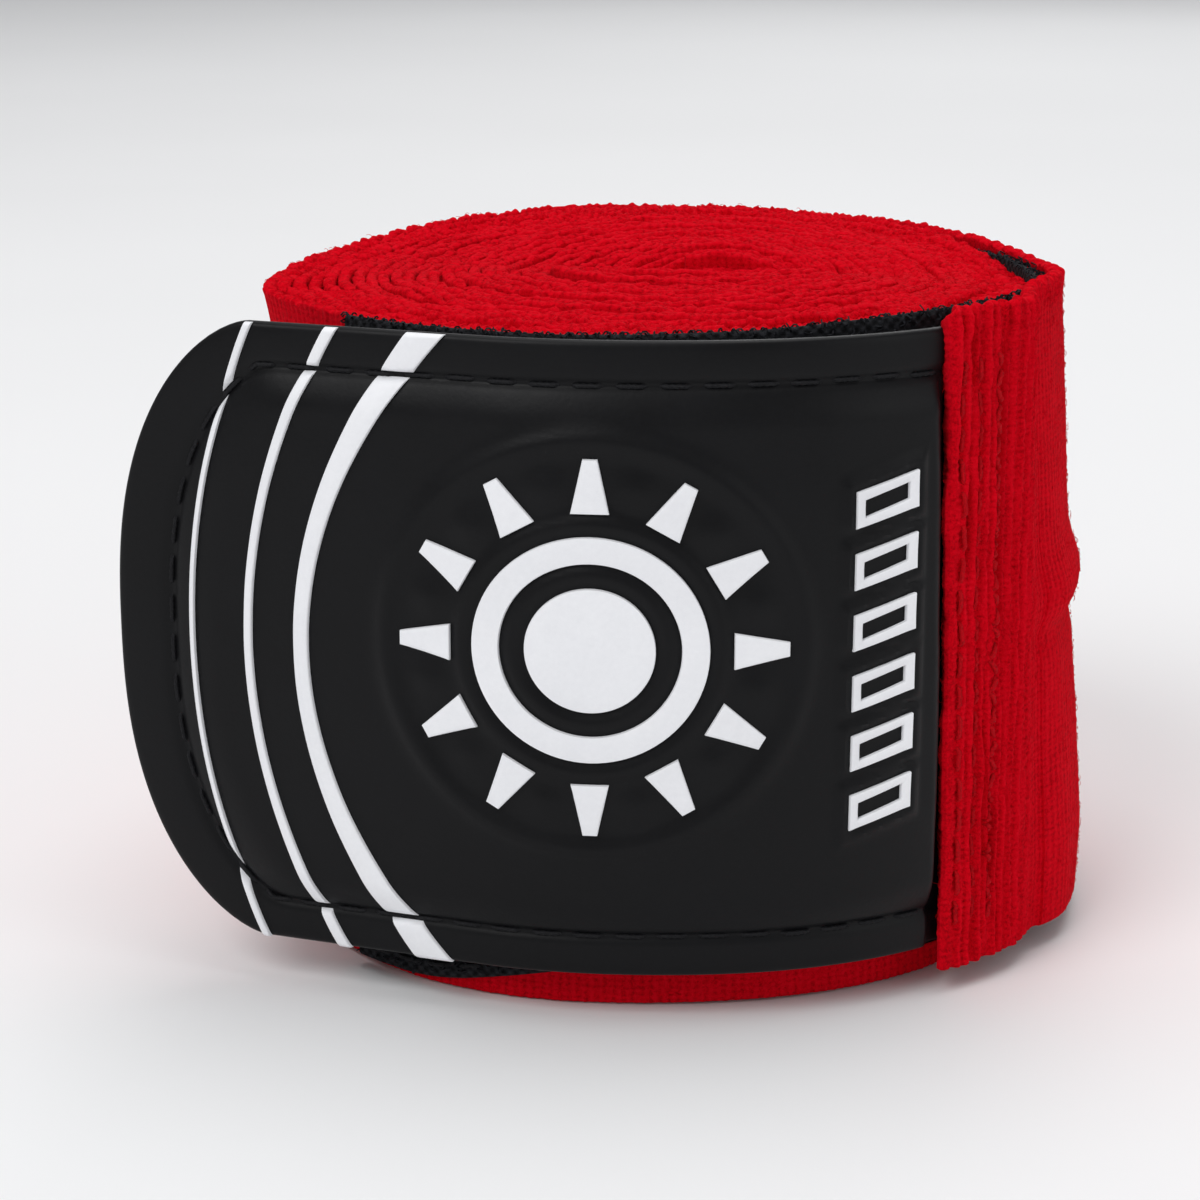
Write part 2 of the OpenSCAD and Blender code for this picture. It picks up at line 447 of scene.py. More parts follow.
class Nodes:
    """A short way to write a node material."""

    def __init__(self, name):
        self.material = bpy.data.materials.new(name)
        self.material.use_nodes = True
        self.tree = self.material.node_tree
        self.shader = self.tree.nodes["Principled BSDF"]

    def add(self, kind, inputs=None, **settings):
        node = self.tree.nodes.new(kind)
        for key, value in settings.items():
            setattr(node, key, value)
        for key, value in (inputs or {}).items():
            self.put(node.inputs[key], value)
        return node

    def put(self, socket, value):
        """Link a socket to another one, or give it a plain value."""
        if isinstance(value, bpy.types.NodeSocket):
            self.tree.links.new(value, socket)
        else:
            socket.default_value = value

    def math(self, operation, a, b=0.0):
        return self.add("ShaderNodeMath", {0: a, 1: b}, operation=operation).outputs[0]

    def noise(self, vector, scale, detail=2.0, rough=0.5):
        inputs = {"Vector": vector, "Scale": scale, "Detail": detail, "Roughness": rough}
        return self.add("ShaderNodeTexNoise", inputs).outputs["Fac"]

    def ramp(self, factor, stops):
        node = self.add("ShaderNodeValToRGB", {"Fac": factor})
        elements = node.color_ramp.elements
        while len(elements) < len(stops):
            elements.new(0.5)
        for element, (place, colour) in zip(elements, stops):
            element.position = place
            element.color = (*colour, 1)
        return node.outputs["Color"]

    def span(self, value, low, high, to_low, to_high):
        inputs = {"Value": value, "From Min": low, "From Max": high, "To Min": to_low, "To Max": to_high}
        return self.add("ShaderNodeMapRange", inputs).outputs[0]

    def spread(self, grain, low, high):
        """A value from low to high where a noise goes over its common range."""
        return self.span(grain, *COMMON, low, high)

    def mix(self, grain, dark, light):
        return self.ramp(grain, list(zip(COMMON, (dark, light))))

    def bump(self, height, distance, strength=1.0, normal=None):
        """distance is in millimetres."""
        inputs = {"Height": height, "Distance": distance * MM, "Strength": strength}
        if normal is not None:
            inputs["Normal"] = normal
        return self.add("ShaderNodeBump", inputs).outputs[0]

    def set(self, **inputs):
        for key, value in inputs.items():
            self.put(self.shader.inputs[key.replace("_", " ")], value)
        return self.material

    def weave(self):
        """Length along the cloth and height across it, in millimetres."""
        node = self.add("ShaderNodeAttribute", attribute_name="weave")
        parts = self.add("ShaderNodeSeparateXYZ", {0: node.outputs["Vector"]})
        return parts.outputs[0], parts.outputs[1]

    def place(self):
        """Where a point is, in millimetres."""
        where = self.add("ShaderNodeTexCoord").outputs["Object"]
        inputs = {0: where, 1: (1 / MM,) * 3}
        return self.add("ShaderNodeVectorMath", inputs, operation="MULTIPLY").outputs[0]

    def wave(self, value, pitch):
        return self.math("COSINE", self.math("MULTIPLY", value, 2 * math.pi / pitch))


def cotton(name, deep, mid, light):
    """Ribbed, slightly fuzzy cotton, with painted shade between the ribs and a painted highlight on the rib
    crests and where the fuzz stands up.
    """
    m = Nodes(name)
    where = m.place()
    s, z = m.weave()
    wobble = m.math("MULTIPLY", m.noise(where, 0.5), 0.5)
    rib = m.wave(m.math("ADD", s, m.math("MULTIPLY", wobble, 0.15)), RIB)
    row = m.wave(m.math("ADD", z, wobble), LOOP)
    fuzz_and_highlight = m.noise(where, 4.2, 5.0, 0.7)
    patch = m.noise(where, 0.22, 3.0)
    # knit sets both the bump and the colour: its valleys are painted shade and its crests a painted
    # highlight.
    knit = m.math("ADD", m.math("MULTIPLY", rib, 0.34), m.math("MULTIPLY", row, 0.2))
    tone = m.math("ADD", m.span(knit, -0.54, 0.54, 0.34, 0.58), m.spread(fuzz_and_highlight, -0.24, 0.24))
    tone = m.math("ADD", tone, m.spread(patch, -0.04, 0.04))
    # deep is the painted shade colour and light the painted highlight colour; patch adds random tone.
    colour = m.ramp(tone, [(0.05, deep), (0.45, mid), (0.95, light)])
    ribbed = m.bump(knit, 0.05, 0.8)
    rough = m.bump(fuzz_and_highlight, 0.22, 0.8, ribbed)
    fine = m.bump(m.noise(where, 14.0, 3.0, 0.8), 0.08, 0.6, rough)
    return m.set(Base_Color=colour, Roughness=m.spread(fuzz_and_highlight, 0.82, 0.98), Normal=fine,
                 Sheen_Weight=0.12, Sheen_Roughness=0.5, Sheen_Tint=(1.0, 0.03, 0.06, 1),
                 Specular_IOR_Level=0.03)


def mottled(name, dark, light, scale, depth, roughness=(0.75, 0.95), sheen=0.15):
    """Thread, webbing, pile or foam: a mottled colour over a fine rough surface."""
    m = Nodes(name)
    grain = m.noise(m.place(), scale, 4.0, 0.65)
    return m.set(Base_Color=m.mix(grain, dark, light), Roughness=m.spread(grain, *roughness),
                 Sheen_Weight=sheen, Normal=m.bump(grain, depth, 0.8), Specular_IOR_Level=0.12)


def basket(name, dark, light, pitch):
    """Woven tape: a basket of small squares along and across, with a painted highlight on the raised
    squares and painted shade on the low ones.
    """
    m = Nodes(name)
    s, z = m.weave()
    grain = m.noise(m.place(), 5.0, 4.0, 0.7)
    squares = m.math("MULTIPLY", m.wave(s, pitch), m.wave(z, pitch))
    knit = m.math("ADD", squares, m.spread(grain, -0.6, 0.6))
    # The colour follows the weave's height: painted highlight on raised squares, painted shade on low ones,
    # with random grain.
    colour = m.ramp(m.span(knit, -1.2, 1.2, 0, 1), [(0.15, dark), (0.9, light)])
    return m.set(Base_Color=colour, Roughness=m.spread(grain, 0.7, 0.95),
                 Normal=m.bump(knit, 0.1, 0.9), Specular_IOR_Level=0.15)


def moulded(name, dark, light, roughness, depth, shine=0.45):
    """Soft moulded skin: a satin surface with a fine pebbled grain and slow changes of gloss."""
    m = Nodes(name)
    where = m.place()
    pebbles = m.add("ShaderNodeTexVoronoi", {"Vector": where, "Scale": 3.2}, feature="SMOOTH_F1")
    cloud = m.noise(where, 0.12, 4.0, 0.6)
    speck = m.noise(where, 2.6, 5.0, 0.7)
    tone = m.math("ADD", m.math("MULTIPLY", cloud, 0.6), m.math("MULTIPLY", speck, 0.4))
    gloss = m.math("ADD", m.spread(cloud, *roughness), m.spread(speck, -0.03, 0.03))
    normal = m.bump(speck, depth * 2.5, 0.5, m.bump(pebbles.outputs["Distance"], depth, 0.6))
    return m.set(Base_Color=m.mix(tone, dark, light), Roughness=gloss, Normal=normal,
                 Specular_IOR_Level=shine)


# Red cotton: the first colour is painted shade in the rib valleys, the last a painted highlight on crests
# and fuzz.
RED = cotton("red cotton", (0.25, 0.0, 0.002), (0.72, 0.0008, 0.009), (0.92, 0.006, 0.022))
WEBBING = mottled("red webbing", (0.25, 0.0, 0.002), (0.66, 0.001, 0.009), 3.0, 0.2, (0.8, 0.95), 0.0)
RED_THREAD = mottled("red thread", (0.3, 0.0, 0.003), (0.62, 0.001, 0.008), 6.0, 0.08, (0.7, 0.9), 0.0)
BLACK_THREAD = mottled("black thread", (0.004, 0.004, 0.005), (0.02, 0.02, 0.022), 6.0, 0.06,
                       (0.45, 0.65), 0.0)
# The loop tape is black; its lighter colour is a painted highlight on the weave.
TAPE = basket("loop tape", (0.003, 0.003, 0.004), (0.03, 0.031, 0.036), 0.9)
PILE = mottled("loop pile", (0.003, 0.003, 0.004), (0.022, 0.023, 0.028), 4.0, 0.05, (0.55, 0.8), 0.0)
HOOKS = moulded("hook plastic", (0.004, 0.004, 0.005), (0.012, 0.012, 0.014), (0.35, 0.5), 0.02, 0.3)
SKIN = moulded("black skin", (0.003, 0.003, 0.0035), (0.005, 0.005, 0.006), (0.36, 0.47), 0.01, 0.16)
WHITE = moulded("white moulding", (0.84, 0.845, 0.875), (0.93, 0.935, 0.96), (0.42, 0.52), 0.01)
FOAM = mottled("foam", (0.03, 0.03, 0.03), (0.08, 0.08, 0.08), 2.5, 0.3)


# ---- camera, light and floor

# The camera stands at the front, and aims a little to the left of the roll's axis.
DISTANCE, ELEVATION = 231.0, 15.2
AIM = np.array([-4.2, 0.0, 23.0])
LENS = 87.0


def look(thing, at):
    """Turn a camera or a light towards a place."""
    way = mathutils.Vector(np.array(at) * MM) - thing.location
    thing.rotation_euler = way.to_track_quat("-Z", "Y").to_euler()


def studio():
    scene = bpy.context.scene
    scene.view_settings.view_transform = "Standard"
    rise = math.radians(ELEVATION)
    data = bpy.data.cameras.new("camera")
    data.lens = LENS
    data.clip_start = 0.01
    camera = in_scene("camera", data)
    camera.location = np.array([0, -DISTANCE * math.cos(rise), MID_Z + DISTANCE * math.sin(rise)]) * MM
    look(camera, AIM)
    scene.camera = camera
    lights = [("key", (-0.45, -0.55, 0.75), 0.55, 3.8), ("fill", (0.75, -0.45, 0.35), 0.6, 0.95),
              ("top", (0.05, 0.15, 0.95), 0.8, 4.1), ("rim", (0.2, 0.9, 0.45), 0.5, 1.0)]
    for name, where, size, power in lights:
        light = bpy.data.lights.new(name, "AREA")
        light.shape = "DISK"
        light.size = size
        light.energy = power
        lamp = in_scene(name, light)
        lamp.location = where
        look(lamp, (0, 0, MID_Z))
    world = bpy.data.worlds.new("studio")
    world.use_nodes = True
    background = world.node_tree.nodes["Background"].inputs
    background["Color"].default_value = (0.92, 0.93, 0.95, 1)
    background["Strength"].default_value = 0.42
    scene.world = world


def floor():
    """A plain pale floor under the object, with a faint unevenness of tone."""
    m = Nodes("floor")
    tone = m.mix(m.noise(m.place(), 0.004), (0.84, 0.84, 0.845), (0.87, 0.87, 0.875))
    m.set(Base_Color=tone, Roughness=m.spread(m.noise(m.place(), 0.02), 0.75, 0.85))
    half = 4000.0 * MM
    corners = [(-half, -half, 0), (half, -half, 0), (half, half, 0), (-half, half, 0)]
    data = bpy.data.meshes.new("floor")
    data.from_pydata(corners, [], [(0, 1, 2, 3)])
    data.materials.append(m.material)
    in_scene("floor", data)


studio()
floor()


# ---- the band

TAB_S, HEM_S, FOLD_S = band_s(TAB_HINGE), band_s(HEM_FROM), band_s(FOLD_PHI)
# Over the last turn's first degrees its length gives its angle.
FIRST_TURN = 110
FIRST_S = band_s(TURN_FROM - FIRST_TURN)
CORE_RUN = 420
CORE_S = BAND.s[0] + CORE_RUN
BACK_END, SIDE_END = band_s(SIDE_HINGE + 11), band_s(TAB_HINGE + 28)
ROWS_S = FOLD_S - np.array([1.6, 3.2, 5.0])
CREASES = (2.5, 4.1, 5.7)
HEM_RIB, HEM_LOOP = 0.98, 0.56
HEM_LEAN, LEAN_Z = 0.024, TAB_Z + 16


def side_bow(s, z):
    """The loose side spreads outwards toward its foot, with a crease at half height."""
    along = ease((s - band_s(62)) / 22) * (1 - ease((s - TAB_S + 1) / 11))
    flare = 3.2 * np.clip((49.5 - z) / 42, 0, 1)
    crease = 0.85 * bell(z - 27.6, 2.4) - 0.45 * bell(z - 24.7, 1.1)
    return along * (flare + crease + 0.12 * noise(s / 7, z / 8, 21))


def hem_zone(s):
    return ease((s - HEM_S + 3) / 3) * (1 - ease((s - FOLD_S - 0.4) / 0.6))


def hem_relief(s, z):
    """The hem is drawn in along its rows of stitches, and its knit stands up in coarse uneven ridges."""
    rows = sum(bell(s - at - 0.25 * noise(z / 3.0, i, 31), 0.35) for i, at in enumerate(ROWS_S))
    sway = 0.22 * noise(z / 7, s / 5, 34) + 0.08 * noise(z / 1.5, s / 3, 35)
    ridge = ripple(s + sway, HEM_RIB)
    stitch = ripple(z + 0.2 * noise(s / 0.8, z / 2, 36), HEM_LOOP)
    knit = 0.15 * ridge + 0.07 * stitch * (0.5 - 0.5 * ridge) + 0.10 * noise(s / 0.5, z / 0.6, 33)
    creases = 0
    for i, at in enumerate(CREASES):
        line = bell(s - FOLD_S + at - 0.6 * noise(z / 11, i, 37), 0.21)
        creases = creases + line * np.clip(0.5 + 1.1 * noise(z / 6, i, 38), 0, 1.2)
    return hem_zone(s) * (knit + 0.14 * noise(s / 1.6, z / 4, 32) - 0.55 * creases - 0.28 * rows)


def band_shape(s, z):
    """How far the ply stands off its line, and how much its two faces swell."""
    out = 0.05 * noise(s / 6, z / 9, 5) + ease((s + 6) / 12) * side_bow(s, z) + hem_relief(s, z)
    at_edge = bell(np.minimum(np.abs(z), np.abs(BAND_W - z)), 0.9)
    phi = turned(s)
    at_ends = bell(apart(phi, 180), 42) + bell(apart(phi, 0), 42)
    swell = ripple(knots(s, z)) * (0.018 + 0.06 * at_edge) + 0.03 * noise(s / 0.5, z / 1.1, 8)
    swell = swell + (0.05 + 0.11 * at_ends) * at_edge + 0.09 * at_edge * noise(s / 0.5, z / 0.5, 9)
    return out + closing(s, z) + left_lean(s, z), swell


def knots(s, z):
    """The rib that each place belongs to. The ribs are uneven in width."""
    return s / RIB + 0.12 * noise(z / 6, s / 3, 7) + 0.34 * noise(s / 1.25, 0, 17)


def closing(s, z):
    """The innermost turns lean together over the thumb loop and close the middle of the roll."""
    inmost = np.clip((CORE_S - s) / CORE_RUN, 0, 1) ** 1.3
    return -0.97 * CORE_B * inmost * ease((z - 36) / 10)


def turned(s):
    """The angle round the roll at each length."""
    wound = np.interp(s, BAND.s[:len(WOUND_K)], TURN_FROM + 360 * WOUND_K)
    return np.where(s < 0, wound, TURN_FROM - FIRST_TURN * s / FIRST_S)


def left_lean(s, z):
    """The outermost turn leans in below its pointed left corner."""
    outermost = ease((s + 190) / 30) * ease(-s / 30)
    return -0.75 * outermost * bell(apart(turned(s), 195), 24) * ease((49.6 - z) / 3.4)


def hem_drift(s, z):
    """The hem leans: its foot lies nearer the loose side than its top does."""
    return ease((s - HEM_S + 1) / 7) * HEM_LEAN * (LEAN_Z - z)


def climb(s):
    """The last turn creeps up the roll on its way round to the hem."""
    return CREEP * ease((s - 22) / (HEM_S - 22))


def uneven(s):
    """The top of the roll stands higher at the back, and lower at its two ends."""
    phi = turned(s)
    ends = 0.55 * bell(apart(phi, 158), 24) + 0.9 * bell(apart(phi, 6), 17)
    return 1.15 * bell(apart(phi, 86), 48) - ends


def band_low(s):
    return 0.14 + 0.10 * noise(s / 17, 0, 11) + climb(s)


def band_high(s):
    """Each turn stands a little higher or lower than its neighbours, and every rib ends in a small knot."""
    wave = 0.24 * noise(s / 24, 0, 12) + 0.12 * noise(s / 5.5, 0, 13)
    knot = 0.08 * ripple(knots(s, BAND_W)) * (0.7 + noise(s / 2.1, 0, 16))
    knot = knot + 0.19 * noise(s / 0.5, 0, 14)
    rounded = 1.5 * ease((s - FOLD_S + 1.7) / 2.4) ** 2
    return BAND_W - 0.55 + wave + knot - rounded + climb(s) + uneven(s)


def band_piece(name, start, end, column, row):
    s = np.r_[np.arange(start, end - column / 2, column), end]
    piece = new_piece(name, [ply(BAND, s, row, band_shape, band_low, band_high, drift=hem_drift)], RED)
    return piece


def on_roll(piece, node):
    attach(piece, "roll")
    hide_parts(node)


def at_side(piece):
    """For the last turn's side: hides its CAD node and bakes the piece's transform into its mesh."""
    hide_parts("last_turn_side")
    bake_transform(piece)


def at_hem(piece):
    """For the hem: hides its CAD node and bakes the piece's transform into its mesh."""
    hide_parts("hem_fold")
    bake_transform(piece)


def wound_turns():
    """The wound turns in five pieces. All but the last show only their top edge."""
    marks = [TURNS, 6, 4, 2.5, 1.05, 0.0]
    for name, start, end in zip(["inner", "middle", "outer", "upper", "last"], marks, marks[1:]):
        column = 0.5 if name == "inner" else RIB / 3
        row = 2.5 if name == "last" else 12.0
        on_roll(band_piece("wound_band_" + name, turn_s(start), turn_s(end), column, row), "wound_band")


def last_turn():
    column = RIB / 4
    on_roll(band_piece("last_turn_back_cloth", turn_s(0.0), BACK_END, column, 0.9), "last_turn_back")
    at_side(band_piece("last_turn_side_cloth", BACK_END, SIDE_END, column, 0.9))
    at_hem(band_piece("hem_fold_front", SIDE_END, HEM_S - 2, column, 0.8))
    end = band_piece("hem_fold_end", HEM_S - 2, BAND.s[-1], 0.15, 0.16)
    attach(end, "tab")
    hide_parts("hem_fold")


# ---- the tab's shape

def tab_line():
    """The tab's border surface in plan: round the front of the roll, then straight along the tangent."""
    bend = around(np.arange(HEM_FROM + 2, TAB_LEAVE - 0.01, -0.1), BORDER_D)
    tail = bend[-1] + np.arange(0.05, 40, 0.05)[:, None] * clockwise(outward(TAB_LEAVE))
    return Line(np.concatenate([bend, tail]), zero_at=round((HEM_FROM + 2 - HEM_TO) / 0.1))


TAB = tab_line()
TAB_HALF = (TAB_HIGH[2] - TAB_LOW[2]) / 2
TAB_REACH = -TAB_LOW[0]
END_DEPTH = 10.5
# The line of stitches: its distances from the long edges and from the free end, and its corners' width.
STITCH_IN, STITCH_END, CORNER_W = 3.0, 4.3, 0.9
ROUND = 0.36
MARK_T = 0.34
SLOPE_STEP = 0.02


def tab_s(x):
    """Length along the tab where it is x from the roll's axis, seen from the front."""
    return np.interp(-np.asarray(x, float), -TAB.points[:, 0], TAB.s)


def end_s(z):
    """Length at which the free end cuts off each height."""
    t = np.clip(np.abs(z - TAB_Z) / TAB_HALF, 0, 1)
    return tab_s(-TAB_REACH + END_DEPTH * (1 - (1 - t ** 2.5) ** 0.62))


def end_slope(z):
    """How fast the free end's outline runs along the tab with height."""
    return (end_s(z + SLOPE_STEP) - end_s(z - SLOPE_STEP)) / (2 * SLOPE_STEP)


def margins(s, z):
    """Distances from the long edges and from the free end."""
    inside = np.clip(z, TAB_Z - TAB_HALF + SLOPE_STEP, TAB_Z + TAB_HALF - SLOPE_STEP)
    return TAB_HALF - np.abs(z - TAB_Z), (end_s(z) - s) / np.sqrt(1 + end_slope(inside) ** 2)


def edge_drop(s, z):
    """How far the rounded edge of the skin has fallen."""
    edge = np.clip(np.minimum(*margins(s, z)), 0, ROUND)
    return ROUND - np.sqrt(ROUND ** 2 - (ROUND - edge) ** 2)


def stitch_margin(s, z):
    """Distance inwards, scaled so that it is STITCH_IN on the line of stitches all round."""
    side, end = margins(s, z)
    end = end * STITCH_IN / STITCH_END
    near_corner = np.clip(CORNER_W - np.abs(side - end), 0, None) / CORNER_W
    return np.minimum(side, end) - near_corner * near_corner * CORNER_W / 4


def tab_height(s, z):
    """How far the skin stands above the tab's border: rounded edge, stitched groove and padded panel."""
    m = stitch_margin(s, z)
    border = 0.10 * np.clip(1 - ((m - 1.6) / 1.5) ** 2, 0, 1)
    groove = 0.20 * bell(m - STITCH_IN, 0.36)
    up = np.clip((m - STITCH_IN - 0.2) / 2.8, 0, 1)
    panel = PANEL_RISE * np.sin(np.pi / 2 * up) * dome(s - 0.8 + HEM_LEAN * (LEAN_Z - z))
    crown = 0.22 * ease((m - 4.5) / 9) + 0.05 * noise(s / 9, z / 8, 41) + 0.02 * noise(s / 2.2, z / 2.6, 42)
    under = 0.55 * ease((0.6 - s) / 0.8)
    return border - edge_drop(s, z) - groove + panel + crown * up - under + emblem_relief(s, z)


def emblem_relief(s, z):
    """Soft black ridges moulded round the disc, the ring and the rays."""
    along, up = s - tab_s(EMBLEM_X), z - TAB_Z - EMBLEM_UP
    r = np.hypot(along, up) / EMBLEM_R
    ray = 0.5 + 0.5 * np.cos(RAYS * np.arctan2(up, along))
    ridges = bell(r - 0.395, 0.05) + bell(r - 0.66, 0.05) + bell(r - 1.09, 0.06)
    between = bell(r - 0.87, 0.1) * (1 - ray) ** 2
    return 0.42 * ridges + 0.34 * between + bar_relief(s, z)


def bar_relief(s, z):
    """A soft ridge moulded round each bar."""
    u = (z - TAB_Z - 1) / BAR_PITCH + BARS / 2
    i = np.clip(np.floor(u - 0.02), 0, BARS - 1)
    along = tab_s(BAR_X + BAR_LONG / 2) - s
    across = (u - i) * BAR_PITCH - (BAR_TALL + BAR_SLANT) / 2 - along * BAR_SLANT / BAR_LONG
    away = np.maximum(np.abs(along) - BAR_LONG / 2, np.abs(across) - BAR_TALL / 2)
    return 0.30 * bell(away - 0.6, 0.42)


def on_tab(s, z, above=0.0):
    """Points of the skin, or a distance above it."""
    return raised(TAB, s, z, tab_height(s, z) + above)


EDGE_STEPS = np.array([0, 0.04, 0.10, 0.20, 0.36, 0.7, 1.2, 1.8, 2.2])
GROOVE_STEPS = np.arange(2.35, 5.2, 0.13)


def tab_grid():
    """Lengths and heights of the skin's grid, close together at its edges, groove and panel's side."""
    from_edge = np.concatenate([EDGE_STEPS, GROOVE_STEPS, np.arange(5.3, TAB_HALF - 0.2, 0.37)])
    z = TAB_Z + np.concatenate([from_edge - TAB_HALF, [0], (TAB_HALF - from_edge)[::-1]])
    from_end = np.concatenate([EDGE_STEPS, np.arange(2.6, 8.2, 0.16)])[::-1]
    at_hem_end = np.r_[np.arange(-7.0, -0.1, 0.7), np.arange(0, 2.4, 0.12)]
    start = at_hem_end[-1] + 0.12
    stop = end_s(z)[:, None] - from_end[0] - 0.16
    middle = start + (stop - start) * np.arange(0, 1.0001, 1 / 165)
    first = np.broadcast_to(at_hem_end, (len(z), len(at_hem_end)))
    s = np.concatenate([first, middle, end_s(z)[:, None] - from_end], 1).T
    return s, np.broadcast_to(z, s.shape)


def tab_skin():
    s, z = tab_grid()
    skin = slab(on_tab(s, z), raised(TAB, s, z, 0.5 * edge_drop(s, z) - SKIN_T))
    make("tab_skin", [skin], SKIN, "tab", "tab_cover", smooth=40)


def patch(half, start, gap, across, along):
    """A grid inside the tab's outline, and how far each of its points is from the grid's edge."""
    z = TAB_Z + half * across
    s = start + (end_s(z)[None] - gap - start) * along[:, None]
    z = np.broadcast_to(z, s.shape)
    return s, z, np.minimum(half - np.abs(z - TAB_Z), np.minimum(s - start, end_s(z) - gap - s))


def slab(front, back):
    """A closed solid between two grids of points."""
    return tube(np.concatenate([front, back[:, ::-1]], 1))


def tab_pad():
    """The foam under the panel: a low crowned pad."""
    across = np.sin(np.radians(np.linspace(-90, 90, 61)))
    along = (1 - np.cos(np.linspace(0, np.pi, 91))) / 2
    s, z, side = patch(TAB_HALF - 5.6, 2.6, 8.0, across, along)
    top = -SKIN_T + 0.15 + (PANEL_RISE - 0.35) * dome(side / 1.2) + 0.02 * noise(s, z, 45)
    pad = slab(raised(TAB, s, z, top), raised(TAB, s, z, 0.1 - SKIN_T))
    make("tab_pad", [pad], FOAM, "tab", "tab_foam")


# ---- raised white marks

# A mark's shoulder: shares of its width, and shares of the mark's thickness.
SHOULDER = np.array([[0.0, -1.0], [0.0, 0.55], [0.3, 0.88], [1.0, 1.0]])
SHOULDER_W = 0.14


def mark_top(s, z, share):
    """Height of a mark over the skin at a share of its thickness. The stitches cut through them."""
    dip = 1 - 1.7 * bell(stitch_margin(s, z) - STITCH_IN, 0.24)
    return on_tab(s, z, MARK_T * share * np.where(share > 0, dip, 1))


def ribbon(s, z, width):
    """A raised line along points s and z, with rounded shoulders, from edge to edge of the tab."""
    slant = np.sqrt(1 + np.gradient(s, z) ** 2)
    inset = np.minimum(SHOULDER_W, width[:, None] * 0.3) * SHOULDER[None, :, 0]
    half = (width[:, None] / 2 - inset) * slant[:, None]
    offset = np.concatenate([half, -half[:, ::-1]], 1)
    share = np.broadcast_to(np.concatenate([SHOULDER[:, 1], SHOULDER[::-1, 1]]), offset.shape)
    return tube(mark_top(s[:, None] + offset, np.broadcast_to(z[:, None], offset.shape), share))


def mark_ring(outline, share):
    return mark_top(*outline.T, np.full(len(outline), share))


def bevel(outline, inwards):
    """Rings over a mark's shoulder, from its outline inwards."""
    return [mark_ring(outline + inwards * SHOULDER_W * i, h) for i, h in SHOULDER]


def plaque(outline, middle):
    """A raised filled shape inside a closed outline, which is seen whole from its middle."""
    away = middle - outline
    rings = [mark_ring(outline + away * f, -1.0) for f in (0.93, 0.5)] + bevel(outline, unit(away))
    rings += [mark_ring(outline + away * f, 1.0) for f in (0.35, 0.7, 0.93)]
    n, m = len(rings), len(outline)
    faces = [grid_quads(n, m), fan(0, m)[:, ::-1], fan((n - 1) * m, m)]
    return np.array(rings).reshape(-1, 3), faces


def fan(first, count):
    """Triangles that close a small round hole."""
    j = np.arange(1, count - 1)
    return np.stack([np.full_like(j, first), first + j, first + j + 1], -1)


def hollow(outer, inner):
    """A raised frame between two closed outlines with the same number of points."""
    inwards = unit(inner - outer)
    return ring(np.stack(bevel(outer, inwards), 1), np.stack(bevel(inner, -inwards), 1))


def circle(centre, radius, count=96):
    t = np.linspace(0, 2 * np.pi, count, endpoint=False)
    return centre + radius * np.stack([np.cos(t), np.sin(t)], -1)


def polygon(corners, per_side=8):
    """Points along the sides of a closed polygon."""
    corners = np.array(corners, float)
    t = np.linspace(0, 1, per_side, endpoint=False)[:, None]
    return np.concatenate([a + (b - a) * t for a, b in zip(corners, np.roll(corners, -1, axis=0))])


STRIPES = {"stripe_thin": (-33.0, 4.7, 0.42, 0.55), "stripe_medium": (-28.6, 6.3, 0.62, 0.85),
           "stripe_wide": (-24.6, 9.0, 1.15, 2.2)}
EMBLEM_X, EMBLEM_UP, EMBLEM_R, RAYS = -4.2, 1.6, 13.5, 12
BARS, BAR_X, BAR_PITCH = 6, 13.5, 4.4
BAR_LONG, BAR_TALL, BAR_SLANT = 4.2, 2.6, 1.2
BAR_SHAPES = [[(0, 0), (BAR_LONG, BAR_SLANT), (BAR_LONG, BAR_SLANT + BAR_TALL), (0, BAR_TALL)],
              [(0.6, 0.8), (3.6, BAR_SLANT + 0.6), (3.6, BAR_SLANT + 1.8), (0.6, 2.0)]]


def white_mark(name, parts):
    make("raised_" + name, parts, WHITE, "tab", name, smooth=50)


def stripes():
    for name, (x, bow, middle, end) in STRIPES.items():
        t = np.linspace(-0.9985, 0.9985, 800)
        s = tab_s(x + bow * t * t)
        width = middle + (end - middle) * t * t
        white_mark(name, [ribbon(s, TAB_Z + TAB_HALF * t, width)])


def emblem():
    centre = np.array([tab_s(EMBLEM_X), TAB_Z + EMBLEM_UP])
    r = EMBLEM_R
    parts = [plaque(circle(centre, r * 0.33), centre),
             hollow(circle(centre, r * 0.6), circle(centre, r * 0.46))]
    for turn in 2 * np.pi * np.arange(RAYS) / RAYS:
        along = np.array([np.cos(turn), np.sin(turn)])
        corners = [centre + along * a - clockwise(along) * b for a, b in
                   [(r * 0.72, -1.3), (r, -0.5), (r, 0.5), (r * 0.72, 1.3)]]
        parts.append(plaque(polygon(corners), centre + along * r * 0.84))
    white_mark("emblem", parts)


def bar_marks():
    parts = []
    for i in range(BARS):
        z = TAB_Z + 1 + (i - BARS / 2) * BAR_PITCH
        outlines = [polygon([(tab_s(BAR_X + x), z + up) for x, up in shape]) for shape in BAR_SHAPES]
        parts.append(hollow(*outlines))
    white_mark("bar_marks", parts)


# ---- stitches

THREAD_R = 0.17
STITCH_SHARE, STITCH_DIVE = 0.80, -0.35


